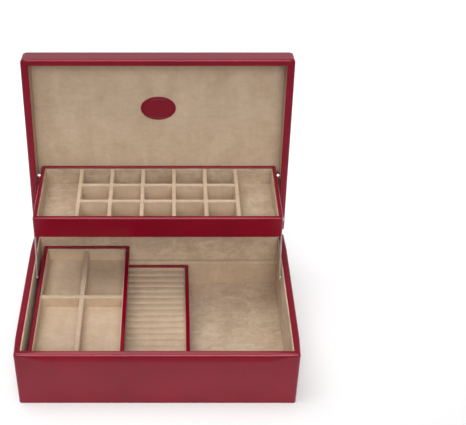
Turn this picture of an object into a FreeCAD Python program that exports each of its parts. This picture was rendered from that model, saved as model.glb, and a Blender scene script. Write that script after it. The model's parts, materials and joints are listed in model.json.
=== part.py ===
import FreeCAD, Part
import Sketcher
import math
import os
import re

# A leather jewellery case, standing open. The lid turns on two rear hinges and lifts a divided tray, which
# hangs on two posts of the lid and two arms of the base and so stays level. A loose insert lies on two
# ledges in the base, over a loose tray of ring rolls that stands on the floor.
#
# Frame: origin under the middle of the base, +X to the right, +Y to the hinges, +Z up. Millimetres.

# Driving dimensions, in millimetres and degrees
SIZES = {
    # Outside of the case
    "case_width": 310.0,
    "case_depth": 225.0,
    "base_height": 73.5,
    "lid_height": 35.0,
    "rim_round": 4.5,
    "nose_round": 13.5,
    "lid_back_round": 5.0,
    "lid_side_round": 1.5,
    # Layers of the base and the lid
    "leather": 1.0,
    "board": 5.0,
    "lining": 1.2,
    "bottom_felt": 1.0,
    "bottom_board": 3.0,
    "lid_board": 4.0,
    "lid_foam": 3.0,
    # Ledges that carry the insert
    "ledge_depth": 6.5,
    "ledge_height": 32.8,
    # Rear hinges
    "open_angle": 95.4,
    "seam": 0.4,
    "hinge_offset": 0.8,
    "hinge_spread": 190.0,
    "hinge_length": 44.0,
    "lid_knuckle": 16.0,
    "knuckle_radius": 2.2,
    "knuckle_gap": 0.3,
    "leaf_width": 7.0,
    "hinge_pin_radius": 1.0,
    "pin_head_radius": 1.8,
    "pin_head_height": 0.8,
    # Layers of the tray, the insert and the ring tray
    "thin_leather": 0.8,
    "thin_board": 3.2,
    "thin_floor": 2.0,
    "thin_lining": 1.0,
    "thin_corner": 1.5,
    # Lifting tray
    "side_gap": 4.5,
    "tray_depth": 113.0,
    "tray_height": 27.0,
    "cell_pitch": 37.4,
    "divider": 4.0,
    "divider_round": 1.6,
    "divider_drop": 2.0,
    "lap_clearance": 0.2,
    # Lifting linkage
    "pivot_from_hinge": 73.4,
    "pivot_from_back": 11.5,
    "pivot_below_top": 7.0,
    "stop_gap": 0.3,
    "post_radius": 3.2,
    "post_gap": 0.5,
    "arm_width": 7.0,
    "arm_thickness": 1.2,
    "arm_play": 0.1,
    "screw_from_front": 29.0,
    "screw_above_bottom": 5.5,
    "screw_radius": 1.6,
    "screw_head_radius": 3.0,
    "screw_head_height": 1.0,
    "screw_bite": 3.0,
    "running_clearance": 0.05,
    "open_pivot_clearance": 0.3,
    # Oval patch inside the lid
    "patch_width": 42.0,
    "patch_height": 29.5,
    "patch_thickness": 1.2,
    "patch_from_hinge": 156.0,
    # Loose insert
    "insert_width": 106.7,
    "insert_height": 22.0,
    "insert_play": 1.0,
    "insert_divider_drop": 4.0,
    "insert_cross_offset": 9.0,
    # Loose ring tray
    "ring_width": 107.0,
    "ring_height": 29.8,
    "ring_right": 37.0,
    "ring_play": 0.8,
    "roll_pitch": 10.9,
    "roll_slit": 0.4,
    "roll_height": 21.5,
    "roll_crown": 4.4,
    "roll_end_gap": 4.5,
}

CROSS_DIVIDER_COUNT = 6
LONG_DIVIDER_COUNT = 2
SIDES = (("left", -1), ("right", 1))
CUT_MARGIN = 1.0
QUARTER_TURN = 90.0

# Shared places, written in the names of the sheet
HALF_WIDTH = "case_width / 2"
HALF_DEPTH = "case_depth / 2"
WALL = "(leather + board + lining)"
INSIDE_X = f"({HALF_WIDTH} - {WALL})"
INSIDE_Y = f"({HALF_DEPTH} - {WALL})"
BOARD_X = f"({HALF_WIDTH} - leather)"
BOARD_Y = f"({HALF_DEPTH} - leather)"
LINING_X = f"({INSIDE_X} + lining)"
LINING_Y = f"({INSIDE_Y} + lining)"
BOTTOM_TOP = "(bottom_felt + bottom_board)"
FLOOR = f"({BOTTOM_TOP} + lining)"
RIM = "(base_height - leather)"
HINGE_Y = f"({HALF_DEPTH} + hinge_offset)"
HINGE_Z = "(base_height + seam / 2)"

# Places along a hinge, counted from its middle
LEAF_END = "(hinge_length / 2)"
PAST_LEAF = f"({LEAF_END} + {CUT_MARGIN})"
MID_KNUCKLE = "(lid_knuckle / 2)"
END_KNUCKLE = f"({MID_KNUCKLE} + knuckle_gap)"
PIN_BORE = "hinge_pin_radius + running_clearance"
KNUCKLE_ROOM = "knuckle_radius + knuckle_gap"

# The lid's own frame has its origin on the hinge axis and is drawn closed
LID_FRONT = "(-case_depth - hinge_offset)"
LID_BACK = "(-hinge_offset)"
LID_RIM = "(seam / 2)"
LID_TOP = f"({LID_RIM} + lid_height)"
LID_RECESS = "(lid_height - leather - lid_foam - lid_board - lining)"
LID_PANEL = f"({LID_RIM} + {LID_RECESS})"
LID_BOARD_LOW = f"({LID_PANEL} + lining)"
LID_FOAM_LOW = f"({LID_BOARD_LOW} + lid_board)"

# The open tray stops with its lower back edge against the panel of the lid
OPEN_SIN = "sin(open_angle * 1deg)"
OPEN_COS = "cos(open_angle * 1deg)"
BELOW_PIVOT = "(tray_height - pivot_below_top)"
PIVOT_DEPTH = f"({LID_PANEL} - stop_gap - pivot_from_back * {OPEN_SIN} + {BELOW_PIVOT} * {OPEN_COS})"
PIVOT_Y = f"({HINGE_Y} - pivot_from_hinge * {OPEN_COS} + {PIVOT_DEPTH} * {OPEN_SIN})"
PIVOT_Z = f"({HINGE_Z} + pivot_from_hinge * {OPEN_SIN} + {PIVOT_DEPTH} * {OPEN_COS})"
TRAY_HALF = f"({INSIDE_X} - side_gap)"
TRAY_FRONT = f"({PIVOT_Y} + pivot_from_back - tray_depth)"
TRAY_BOTTOM = f"({PIVOT_Z} - {BELOW_PIVOT})"

# The arms run parallel to the line from the hinge axis to the posts, midway in the gap beside the tray
ARM_X = f"({INSIDE_X} - side_gap / 2)"
ARM_NEAR = f"({ARM_X} - arm_thickness / 2)"
ARM_FAR = f"({ARM_X} + arm_thickness / 2)"
ARM_Y = f"({HINGE_Y} - (tray_depth - screw_from_front - pivot_from_back))"
ARM_Z = f"({HINGE_Z} - ({BELOW_PIVOT} - screw_above_bottom))"
ARM_LENGTH = f"sqrt(pivot_from_hinge ^ 2 + {PIVOT_DEPTH} ^ 2)"
ARM_TURN = f"open_angle * 1deg + atan({PIVOT_DEPTH} / pivot_from_hinge)"

THIN_WALL = "(thin_leather + thin_board + thin_lining)"
THIN_FLOOR = "(thin_leather + thin_floor + thin_lining)"

doc = FreeCAD.newDocument("jewellery_case")
sheet = doc.addObject("Spreadsheet::Sheet", "Sizes")
for row, (alias, number) in enumerate(SIZES.items(), start=1):
    sheet.set(f"A{row}", alias)
    sheet.set(f"B{row}", str(number))
    sheet.setAlias(f"B{row}", alias)
doc.recompute()

pieces = []


def bind(thing, prop, expression):
    """Tie a property to an expression written in the names of the sheet."""
    names = re.compile(r"[a-z_]+")
    thing.setExpression(prop, names.sub(lambda word: sheet_name(word[0]), str(expression)))


def sheet_name(word):
    """The sheet's own cell for a size, any other word as it is."""
    if word in SIZES:
        return f"{sheet.Name}.{word}"
    return word


def keep(*things):
    """Hand over finished sub-parts."""
    pieces.extend(things)
    return things[0]


def block(name, low, high):
    """A rectangular piece between two corners."""
    piece = doc.addObject("Part::Box", name)
    for prop, axis, start, end in zip(("Length", "Width", "Height"), "xyz", low, high):
        bind(piece, prop, f"({end}) - ({start})")
        bind(piece, f".Placement.Base.{axis}", start)
    return piece


def rod(name, radius, low_x, high_x, y, z):
    """A round bar along X."""
    piece = doc.addObject("Part::Cylinder", name)
    piece.Placement.Rotation = FreeCAD.Rotation(FreeCAD.Vector(0, 1, 0), QUARTER_TURN)
    bind(piece, "Radius", radius)
    bind(piece, "Height", f"({high_x}) - ({low_x})")
    for axis, place in zip("xyz", (low_x, y, z)):
        bind(piece, f".Placement.Base.{axis}", place)
    return piece


def side_rod(name, sign, radius, near, far, y, z):
    """A round bar along X on one side, between two distances from the middle plane."""
    if sign > 0:
        return rod(name, radius, near, far, y, z)
    return rod(name, radius, f"-({far})", f"-({near})", y, z)


def fuse(name, *parts):
    """Several overlapping shapes as one solid."""
    piece = doc.addObject("Part::MultiFuse", name)
    piece.Shapes = list(parts)
    return piece


def cut(name, base, *tools):
    """A shape with others taken away from it."""
    piece = doc.addObject("Part::Cut", name)
    piece.Base = base
    piece.Tool = tools[0] if len(tools) == 1 else fuse(f"{name}_cutters", *tools)
    return piece


def common(name, form, space):
    """The part of a form that lies in a space."""
    piece = doc.addObject("Part::Common", name)
    piece.Base = form
    piece.Tool = space
    return piece


def group(name, *parts):
    """Separate solids that share one node."""
    piece = doc.addObject("Part::Compound", name)
    piece.Links = list(parts)
    return piece


def new_sketch(body, role, name):
    """A sketch on one of the body's own origin planes."""
    plane = next(item for item in body.Origin.OriginFeatures if item.Role == role)
    sketch = body.newObject("Sketcher::SketchObject", name)
    sketch.AttachmentSupport = (plane, [""])
    sketch.MapMode = "FlatFace"
    return sketch


def constrain(sketch, name, expression, *dimension):
    """Add a named dimension to a sketch and tie it to the sheet."""
    index = sketch.addConstraint(Sketcher.Constraint(*dimension))
    sketch.renameConstraint(index, name)
    bind(sketch, f"Constraints.{name}", expression)


def closed_outline(sketch, corners):
    """Straight lines round the given corners, joined end to end."""
    points = [FreeCAD.Vector(x, y, 0) for x, y in corners]
    lines = [
        sketch.addGeometry(Part.LineSegment(start, end), False)
        for start, end in zip(points, points[1:] + points[:1])
    ]
    for line, after in zip(lines, lines[1:] + lines[:1]):
        sketch.addConstraint(Sketcher.Constraint("Coincident", line, 2, after, 1))
    return lines


def pad(body, sketch, name, length):
    """A sketch made solid along its normal."""
    feature = body.newObject("PartDesign::Pad", name)
    feature.Profile = sketch
    bind(feature, "Length", length)
    doc.recompute()
    return feature


def edges_on(shape, *sides):
    """Names of the edges that lie on all the given sides of a shape's box."""
    box = shape.BoundBox
    limits = {
        "left": ("XMax", box.XMin), "right": ("XMin", box.XMax),
        "front": ("YMax", box.YMin), "back": ("YMin", box.YMax),
        "bottom": ("ZMax", box.ZMin), "top": ("ZMin", box.ZMax),
    }
    tolerance = 1e-4
    names = set()
    for number, edge in enumerate(shape.Edges, start=1):
        places = [(getattr(edge.BoundBox, limits[side][0]), limits[side][1]) for side in sides]
        if all(abs(place - limit) < tolerance for place, limit in places):
            names.add(f"Edge{number}")
    return names


def rounded_block(name, low, high, *rounds):
    """A block whose edges are rounded, one radius and one choice of edges at a time."""
    body = doc.addObject("PartDesign::Body", name)
    sketch = new_sketch(body, "XY_Plane", f"{name}_outline")
    for axis, start in zip("xyz", low):
        bind(sketch, f".AttachmentOffset.Base.{axis}", start)
    wide, deep = 60.0, 40.0
    front, right, back, left = closed_outline(sketch, ((0, 0), (wide, 0), (wide, deep), (0, deep)))
    sketch.addConstraint([
        Sketcher.Constraint("Horizontal", front),
        Sketcher.Constraint("Horizontal", back),
        Sketcher.Constraint("Vertical", left),
        Sketcher.Constraint("Vertical", right),
        Sketcher.Constraint("Coincident", front, 1, -1, 1),
    ])
    constrain(sketch, "across", f"({high[0]}) - ({low[0]})", "DistanceX", front, 1, front, 2, wide)
    constrain(sketch, "along", f"({high[1]}) - ({low[1]})", "DistanceY", right, 1, right, 2, deep)
    feature = pad(body, sketch, f"{name}_block", f"({high[2]}) - ({low[2]})")
    for number, (radius, choose) in enumerate(rounds, start=1):
        fillet = body.newObject("PartDesign::Fillet", f"{name}_round_{number}")
        fillet.Base = (feature, sorted(choose(feature.Shape)))
        bind(fillet, "Radius", radius)
        doc.recompute()
        feature = fillet
    return body


def rim_edges(shape):
    """The four outer edges of the top."""
    return set().union(*(edges_on(shape, "top", side) for side in ("front", "back", "left", "right")))


def upright_edges(shape):
    """The four edges that stand at the corners."""
    pairs = (("front", "left"), ("front", "right"), ("back", "left"), ("back", "right"))
    return set().union(*(edges_on(shape, *pair) for pair in pairs))


def corner(*sides):
    """A choice of the edges that two sides share."""
    return lambda shape: edges_on(shape, *sides)


def end_edges(side):
    """A choice of the edges round one end, apart from the open underside."""
    return lambda shape: edges_on(shape, side) - edges_on(shape, side, "bottom")


def swing(*things):
    """Put pieces that were drawn in the closed lid's frame where the open lid holds them."""
    for piece in things:
        turn = FreeCAD.Rotation(FreeCAD.Vector(-1, 0, 0), SIZES["open_angle"])
        piece.Placement = FreeCAD.Placement(FreeCAD.Vector(), turn)
        bind(piece, ".Placement.Base.y", HINGE_Y)
        bind(piece, ".Placement.Base.z", HINGE_Z)
        bind(piece, ".Placement.Rotation.Angle", "open_angle * 1deg")
    return things[0]


def hinge_x(sign, offset):
    """A place along one hinge, counted from its middle."""
    return f"({sign} * hinge_spread / 2 + ({offset}))"


def hinge_span(name, sign, radius, start, end, y, z):
    """A round bar on a hinge axis, between two places counted from the hinge's middle."""
    return rod(name, radius, hinge_x(sign, start), hinge_x(sign, end), y, z)


def leaf_space(name, sign, y, z_low, z_high):
    """The flat space of a hinge leaf, from the hinge axis inwards."""
    low = (hinge_x(sign, "-hinge_length / 2"), f"{y} - leaf_width", z_low)
    high = (hinge_x(sign, "hinge_length / 2"), y, z_high)
    return block(name, low, high)


def arm_screw_holes(name, clearance):
    """Round cutters for the two screws in the side walls of the base."""
    far = f"{INSIDE_X} + lining + screw_bite + {clearance}"
    radius = f"screw_radius + {clearance}"
    return [
        side_rod(f"{name}_{side}", sign, radius, f"{INSIDE_X} - {CUT_MARGIN}", far, ARM_Y, ARM_Z)
        for side, sign in SIDES
    ]


def make_base():
    """The open box: boards, leather, felt, lining and ledges."""
    form = rounded_block(
        "base_form", (f"-{HALF_WIDTH}", f"-{HALF_DEPTH}", "0"), (HALF_WIDTH, HALF_DEPTH, "base_height"),
        ("rim_round", rim_edges),
    )
    core = rounded_block(
        "base_core", (f"-{BOARD_X}", f"-{BOARD_Y}", "0"), (BOARD_X, BOARD_Y, RIM),
        ("rim_round - leather", rim_edges),
    )
    mouth = block(
        "base_mouth", (f"-{INSIDE_X}", f"-{INSIDE_Y}", FLOOR),
        (INSIDE_X, INSIDE_Y, f"base_height + {CUT_MARGIN}"),
    )
    opening = block(
        "base_rim_opening", (f"-{LINING_X}", f"-{LINING_Y}", RIM),
        (LINING_X, LINING_Y, f"base_height + {CUT_MARGIN}"),
    )
    mortises = [
        leaf_space(f"base_mortise_{side}", sign, HINGE_Y, RIM, f"base_height + {CUT_MARGIN}")
        for side, sign in SIDES
    ]
    keep(cut("base_leather_wrap", form, core, opening, *mortises))

    holes = arm_screw_holes("base_screw_hole", "running_clearance")
    for side, sign in (("front", -1), ("back", 1)):
        near, far = (LINING_Y, BOARD_Y) if sign > 0 else (f"-{BOARD_Y}", f"-{LINING_Y}")
        space = block(f"base_{side}_space", (f"-{BOARD_X}", near, "bottom_felt"), (BOARD_X, far, RIM))
        keep(common(f"base_{side}_board", core, space))
    for (side, sign), hole in zip(SIDES, holes):
        near, far = (LINING_X, BOARD_X) if sign > 0 else (f"-{BOARD_X}", f"-{LINING_X}")
        space = block(f"base_{side}_space", (near, f"-{LINING_Y}", "bottom_felt"), (far, LINING_Y, RIM))
        keep(cut(f"base_{side}_board", common(f"base_{side}_blank", core, space), hole))

    keep(block("base_bottom_felt", (f"-{BOARD_X}", f"-{BOARD_Y}", "0"), (BOARD_X, BOARD_Y, "bottom_felt")))
    low, high = (f"-{LINING_X}", f"-{LINING_Y}", "bottom_felt"), (LINING_X, LINING_Y, BOTTOM_TOP)
    keep(block("base_bottom_board", low, high))
    tub = block("base_lining_blank", (f"-{LINING_X}", f"-{LINING_Y}", BOTTOM_TOP), (LINING_X, LINING_Y, RIM))
    keep(cut("base_lining", tub, mouth, *holes))

    top = f"{FLOOR} + ledge_height"
    low, high = (f"-{INSIDE_X}", f"-{INSIDE_Y}", FLOOR), (INSIDE_X, f"-{INSIDE_Y} + ledge_depth", top)
    keep(rounded_block("front_ledge", low, high, ("lining", corner("top", "back"))))
    low, high = (f"-{INSIDE_X}", f"{INSIDE_Y} - ledge_depth", FLOOR), (INSIDE_X, INSIDE_Y, top)
    keep(rounded_block("back_ledge", low, high, ("lining", corner("top", "front"))))


def base_leaf(side, sign):
    """The leaf in the base's rim, with the two end knuckles."""
    axis = (HINGE_Y, HINGE_Z)
    plate = leaf_space(f"base_leaf_plate_{side}", sign, HINGE_Y, RIM, "base_height")
    room = hinge_span(f"lid_knuckle_room_{side}", sign, KNUCKLE_ROOM, f"-{END_KNUCKLE}", END_KNUCKLE, *axis)
    spans = ((f"-{LEAF_END}", f"-{END_KNUCKLE}"), (END_KNUCKLE, LEAF_END))
    ends = [
        hinge_span(f"base_knuckle_{side}_{number}", sign, "knuckle_radius", *span, *axis)
        for number, span in enumerate(spans, start=1)
    ]
    bore = hinge_span(f"base_leaf_bore_{side}", sign, PIN_BORE, f"-{PAST_LEAF}", PAST_LEAF, *axis)
    notched = cut(f"base_leaf_notched_{side}", plate, room)
    return cut(f"base_leaf_{side}", fuse(f"base_leaf_blank_{side}", notched, *ends), bore)


def lid_leaf(side, sign):
    """The leaf in the lid's rim, with the middle knuckle, in the closed lid's frame."""
    axis = ("0", "0")
    plate = leaf_space(f"lid_leaf_plate_{side}", sign, "0", LID_RIM, f"{LID_RIM} + leather")
    spans = ((f"-{PAST_LEAF}", f"-{MID_KNUCKLE}"), (MID_KNUCKLE, PAST_LEAF))
    rooms = [
        hinge_span(f"end_knuckle_room_{side}_{number}", sign, KNUCKLE_ROOM, *span, *axis)
        for number, span in enumerate(spans, start=1)
    ]
    middle = hinge_span(f"lid_knuckle_{side}", sign, "knuckle_radius", f"-{MID_KNUCKLE}", MID_KNUCKLE, *axis)
    bore = hinge_span(f"lid_leaf_bore_{side}", sign, PIN_BORE, f"-{PAST_LEAF}", PAST_LEAF, *axis)
    notched = cut(f"lid_leaf_notched_{side}", plate, *rooms)
    return cut(f"lid_leaf_{side}", fuse(f"lid_leaf_blank_{side}", notched, middle), bore)


def hinge_pin(side, sign):
    """The pin through all three knuckles, with its head at the outer end."""
    axis = (HINGE_Y, HINGE_Z)
    outer = f"({LEAF_END} + pin_head_height)"
    head_span = (LEAF_END, outer) if sign > 0 else (f"-{outer}", f"-{LEAF_END}")
    return fuse(
        f"hinge_pin_{side}",
        hinge_span(f"hinge_shank_{side}", sign, "hinge_pin_radius", f"-{LEAF_END}", LEAF_END, *axis),
        hinge_span(f"hinge_head_{side}", sign, "pin_head_radius", *head_span, *axis),
    )


def make_hinges():
    """Two butt hinges let into the leather of the rear rims, with headed pins."""
    keep(group("hinge_base_leaves", *(base_leaf(side, sign) for side, sign in SIDES)))
    keep(group("hinge_pins", *(hinge_pin(side, sign) for side, sign in SIDES)))
    keep(swing(group("hinge_lid_leaves", *(lid_leaf(side, sign) for side, sign in SIDES))))


def lid_space(name, inset, z_low, z_high):
    """A flat layer of the lid, inset alike from its four sides."""
    low = (f"-({HALF_WIDTH} - ({inset}))", f"{LID_FRONT} + {inset}", z_low)
    high = (f"{HALF_WIDTH} - ({inset})", f"{LID_BACK} - ({inset})", z_high)
    return block(name, low, high)


def make_lid():
    """The hollow lid: boards, foam, leather cover, linings and the oval patch."""
    form = rounded_block(
        "lid_form", (f"-{HALF_WIDTH}", LID_FRONT, LID_RIM), (HALF_WIDTH, LID_BACK, LID_TOP),
        ("nose_round", corner("top", "front")),
        ("lid_back_round", corner("top", "back")),
        ("rim_round", corner("bottom", "back")),
        ("lid_side_round", end_edges("left")),
        ("lid_side_round", end_edges("right")),
    )
    core = rounded_block(
        "lid_core", (f"-{BOARD_X}", f"{LID_FRONT} + leather", f"{LID_RIM} + leather"),
        (BOARD_X, f"{LID_BACK} - leather", f"{LID_TOP} - leather"),
        ("nose_round - leather", corner("top", "front")),
        ("lid_back_round - leather", corner("top", "back")),
        ("rim_round - leather", corner("bottom", "back")),
    )
    mouth = lid_space("lid_mouth", WALL, f"-{CUT_MARGIN}", LID_PANEL)
    opening = lid_space("lid_rim_opening", WALL, f"-{CUT_MARGIN}", f"{LID_RIM} + leather")
    mortises = [
        leaf_space(f"lid_mortise_{side}", sign, "0", f"-{CUT_MARGIN}", f"{LID_RIM} + leather")
        for side, sign in SIDES
    ]
    keep(swing(cut("lid_leather_cover", form, core, opening, *mortises)))

    low, high = f"{LID_RIM} + leather", LID_BOARD_LOW
    holes = [
        side_rod(
            f"lid_post_hole_{side}", sign, "screw_radius + running_clearance", f"{INSIDE_X} - {CUT_MARGIN}",
            f"{INSIDE_X} + lining + screw_bite + running_clearance", "-pivot_from_hinge", PIVOT_DEPTH,
        )
        for side, sign in SIDES
    ]
    front, back = f"{LID_FRONT} + leather", f"{LID_BACK} - leather"
    space = block("lid_front_space", (f"-{BOARD_X}", front, low), (BOARD_X, f"{front} + board", high))
    keep(swing(common("lid_front_board", core, space)))
    space = block("lid_back_space", (f"-{BOARD_X}", f"{back} - board", low), (BOARD_X, back, high))
    keep(swing(common("lid_back_board", core, space)))
    for (side, sign), hole in zip(SIDES, holes):
        near, far = (LINING_X, BOARD_X) if sign > 0 else (f"-{BOARD_X}", f"-{LINING_X}")
        space = block(f"lid_{side}_space", (near, f"{front} + board", low), (far, f"{back} - board", high))
        keep(swing(cut(f"lid_{side}_board", common(f"lid_{side}_blank", core, space), hole)))

    keep(swing(common("lid_top_board", core, lid_space("lid_board_space", "leather", high, LID_FOAM_LOW))))
    foam = lid_space("lid_foam_space", "leather", LID_FOAM_LOW, LID_TOP)
    keep(swing(common("lid_padding", core, foam)))
    panel = lid_space("lid_panel_space", "(leather + board)", LID_PANEL, high)
    keep(swing(common("lid_lining_panel", core, panel)))
    strip = lid_space("lid_strip_space", "(leather + board)", low, LID_PANEL)
    keep(swing(cut("lid_wall_lining", strip, mouth, *holes)))
    keep(swing(make_patch()))

    posts = []
    for side, sign in SIDES:
        centre = ("-pivot_from_hinge", PIVOT_DEPTH)
        shoulder = side_rod(
            f"post_shoulder_{side}", sign, "post_radius", f"{TRAY_HALF} + post_gap", INSIDE_X, *centre
        )
        pin = side_rod(
            f"post_pin_{side}", sign, "screw_radius", f"{TRAY_HALF} - thin_leather - thin_board",
            f"{INSIDE_X} + lining + screw_bite", *centre,
        )
        posts.append(fuse(f"post_{side}", shoulder, pin))
    keep(swing(group("tray_pivot_posts", *posts)))


def ellipse_outline(sketch, width, height):
    """An ellipse about the sketch's own centre, sized by its two axes."""
    start_width, start_height = 40.0, 28.0
    right, top = FreeCAD.Vector(start_width / 2, 0, 0), FreeCAD.Vector(0, start_height / 2, 0)
    oval = sketch.addGeometry(Part.Ellipse(right, top, FreeCAD.Vector()), False)
    sketch.exposeInternalGeometry(oval)
    long_axis, short_axis = oval + 1, oval + 2
    sketch.addConstraint(Sketcher.Constraint("Coincident", oval, 3, -1, 1))
    sketch.addConstraint(Sketcher.Constraint("Horizontal", long_axis))
    constrain(sketch, "wide", width, "Distance", long_axis, start_width)
    constrain(sketch, "high", height, "Distance", short_axis, start_height)


def make_patch():
    """The bare oval leather patch."""
    body = doc.addObject("PartDesign::Body", "lid_oval_patch")
    centre = "-patch_from_hinge"
    sketch = new_sketch(body, "XY_Plane", "patch_outline")
    bind(sketch, ".AttachmentOffset.Base.y", centre)
    bind(sketch, ".AttachmentOffset.Base.z", f"{LID_PANEL} - patch_thickness")
    ellipse_outline(sketch, "patch_width", "patch_height")
    pad(body, sketch, "patch_pad", "patch_thickness")
    return body


def make_tray(name, low, high, bores=None):
    """A thin tray: leather outside and over the rim, boards within, suede inside."""
    def inset(amount, z_low, z_high):
        start = (f"{low[0]} + {amount}", f"{low[1]} + {amount}", z_low)
        end = (f"{high[0]} - ({amount})", f"{high[1]} - ({amount})", z_high)
        return start, end

    bores = bores or {"left": [], "right": []}
    board_low, board_high = f"{low[2]} + thin_leather", f"{high[2]} - thin_leather"
    floor_top = f"{low[2]} + {THIN_FLOOR}"
    form = rounded_block(
        f"{name}_form", low, high, ("thin_corner", upright_edges), ("thin_leather", rim_edges)
    )
    core = block(f"{name}_core", *inset("thin_leather", board_low, board_high))
    mouth = block(f"{name}_mouth", *inset(THIN_WALL, floor_top, f"{high[2]} + {CUT_MARGIN}"))
    inner = "(thin_leather + thin_board)"
    opening = block(f"{name}_rim_opening", *inset(inner, board_high, f"{high[2]} + {CUT_MARGIN}"))
    keep(cut(f"{name}_leather_wrap", form, core, opening, *bores["left"], *bores["right"]))

    left, right = f"{low[0]} + thin_leather", f"{high[0]} - thin_leather"
    front, back = f"{low[1]} + thin_leather", f"{high[1]} - thin_leather"
    keep(block(f"{name}_front_wall", (left, front, board_low), (right, f"{front} + thin_board", board_high)))
    keep(block(f"{name}_back_wall", (left, f"{back} - thin_board", board_low), (right, back, board_high)))
    spans = {"left": (left, f"{left} + thin_board"), "right": (f"{right} - thin_board", right)}
    for side, (near, far) in spans.items():
        start = (near, f"{front} + thin_board", board_low)
        end = (far, f"{back} - thin_board", board_high)
        if bores[side]:
            keep(cut(f"{name}_{side}_wall", block(f"{name}_{side}_blank", start, end), *bores[side]))
        else:
            keep(block(f"{name}_{side}_wall", start, end))
    keep(block(f"{name}_floor", *inset(inner, board_low, f"{board_low} + thin_floor")))
    tub = block(f"{name}_lining_blank", *inset(inner, f"{board_low} + thin_floor", board_high))
    keep(cut(f"{name}_lining", tub, mouth))


def wall_of(name, low, high, along, slots):
    """A padded divider with a rounded top and half-lap slots."""
    sides = ("left", "right") if along == "y" else ("front", "back")

    def top_edges(shape):
        return set().union(*(edges_on(shape, "top", side) for side in sides))

    if not slots:
        return keep(rounded_block(name, low, high, ("divider_round", top_edges)))
    return keep(cut(name, rounded_block(f"{name}_blank", low, high, ("divider_round", top_edges)), *slots))


def lap(name, x, y, z_low, z_high):
    """The room that one divider leaves for another where they cross."""
    half = "(divider / 2 + lap_clearance)"
    return block(name, (f"{x} - {half}", f"{y} - {half}", z_low), (f"{x} + {half}", f"{y} + {half}", z_high))


def make_lifting_tray():
    """The divided tray that the lid lifts: five small columns of three cells between two long wells."""
    low = (f"-{TRAY_HALF}", TRAY_FRONT, TRAY_BOTTOM)
    high = (TRAY_HALF, f"{TRAY_FRONT} + tray_depth", f"{TRAY_BOTTOM} + tray_height")
    screw = (f"({TRAY_FRONT} + screw_from_front)", f"({TRAY_BOTTOM} + screw_above_bottom)")
    inner = f"{TRAY_HALF} - thin_leather - thin_board"
    bores = {}
    screws = []
    for side, sign in SIDES:
        radius = "screw_radius + running_clearance"
        start, end = f"{inner} - running_clearance", f"{TRAY_HALF} + {CUT_MARGIN}"
        bores[side] = [
            side_rod(f"tray_post_bore_{side}", sign, radius, start, end, PIVOT_Y, PIVOT_Z),
            side_rod(f"tray_screw_bore_{side}", sign, radius, start, end, *screw),
        ]
        collar_end, head = f"{ARM_NEAR} - arm_play", f"{ARM_FAR} + arm_play"
        head_end = f"{head} + screw_head_height"
        screws.append(fuse(
            f"tray_screw_{side}",
            side_rod(f"tray_shank_{side}", sign, "screw_radius", inner, head, *screw),
            side_rod(f"tray_collar_{side}", sign, "screw_head_radius", TRAY_HALF, collar_end, *screw),
            side_rod(f"tray_head_{side}", sign, "screw_head_radius", head, head_end, *screw),
        ))
    make_tray("tray", low, high, bores)
    keep(group("tray_arm_screws", *screws))

    front = f"({TRAY_FRONT} + {THIN_WALL})"
    depth = f"(tray_depth - 2 * {THIN_WALL})"
    floor = f"({TRAY_BOTTOM} + {THIN_FLOOR})"
    top = f"({high[2]} - divider_drop)"
    middle = f"(({floor} + {top}) / 2)"
    numbers = range(CROSS_DIVIDER_COUNT)
    columns = [f"({number - (CROSS_DIVIDER_COUNT - 1) / 2} * cell_pitch)" for number in numbers]
    cells = LONG_DIVIDER_COUNT + 1
    rows = [f"({front} + {depth} * {number} / {cells})" for number in range(1, cells)]
    for number, x in enumerate(columns, start=1):
        inner_column = 1 < number < CROSS_DIVIDER_COUNT
        slots = [
            lap(f"tray_cross_slot_{number}_{place}", x, y, middle, f"{top} + {CUT_MARGIN}")
            for place, y in enumerate(rows, start=1)
            if inner_column
        ]
        start = (f"{x} - divider / 2", front, floor)
        end = (f"{x} + divider / 2", f"{front} + {depth}", top)
        wall_of(f"tray_cross_divider_{number}", start, end, "y", slots)
    for number, y in enumerate(rows, start=1):
        slots = [
            lap(f"tray_long_slot_{number}_{place}", x, y, f"{floor} - {CUT_MARGIN}", middle)
            for place, x in enumerate(columns[1:-1], start=1)
        ]
        start = (f"{columns[0]} + divider / 2", f"{y} - divider / 2", floor)
        end = (f"{columns[-1]} - divider / 2", f"{y} + divider / 2", top)
        wall_of(f"tray_long_divider_{number}", start, end, "x", slots)


def make_arms():
    """The two steel straps and the shoulder screws that carry them on the base."""
    screws = []
    for side, sign in SIDES:
        body = doc.addObject("PartDesign::Body", f"arm_{side}")
        sketch = new_sketch(body, "YZ_Plane", f"arm_{side}_outline")
        strap_outline(sketch)
        pad(body, sketch, f"arm_{side}_strap", "arm_thickness")
        turn = FreeCAD.Rotation(FreeCAD.Vector(-1, 0, 0), SIZES["open_angle"])
        body.Placement = FreeCAD.Placement(FreeCAD.Vector(), turn)
        bind(body, ".Placement.Base.x", ARM_NEAR if sign > 0 else f"-{ARM_FAR}")
        bind(body, ".Placement.Base.y", ARM_Y)
        bind(body, ".Placement.Base.z", ARM_Z)
        bind(body, ".Placement.Rotation.Angle", ARM_TURN)
        keep(body)

        head, collar = f"{ARM_NEAR} - arm_play", f"{ARM_FAR} + arm_play"
        head_end, tip = f"{head} - screw_head_height", f"{INSIDE_X} + lining + screw_bite"
        screws.append(fuse(
            f"arm_screw_{side}",
            side_rod(f"arm_shank_{side}", sign, "screw_radius", head, tip, ARM_Y, ARM_Z),
            side_rod(f"arm_collar_{side}", sign, "screw_head_radius", collar, INSIDE_X, ARM_Y, ARM_Z),
            side_rod(f"arm_head_{side}", sign, "screw_head_radius", head_end, head, ARM_Y, ARM_Z),
        ))
    keep(group("arm_pivot_screws", *screws))


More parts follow.
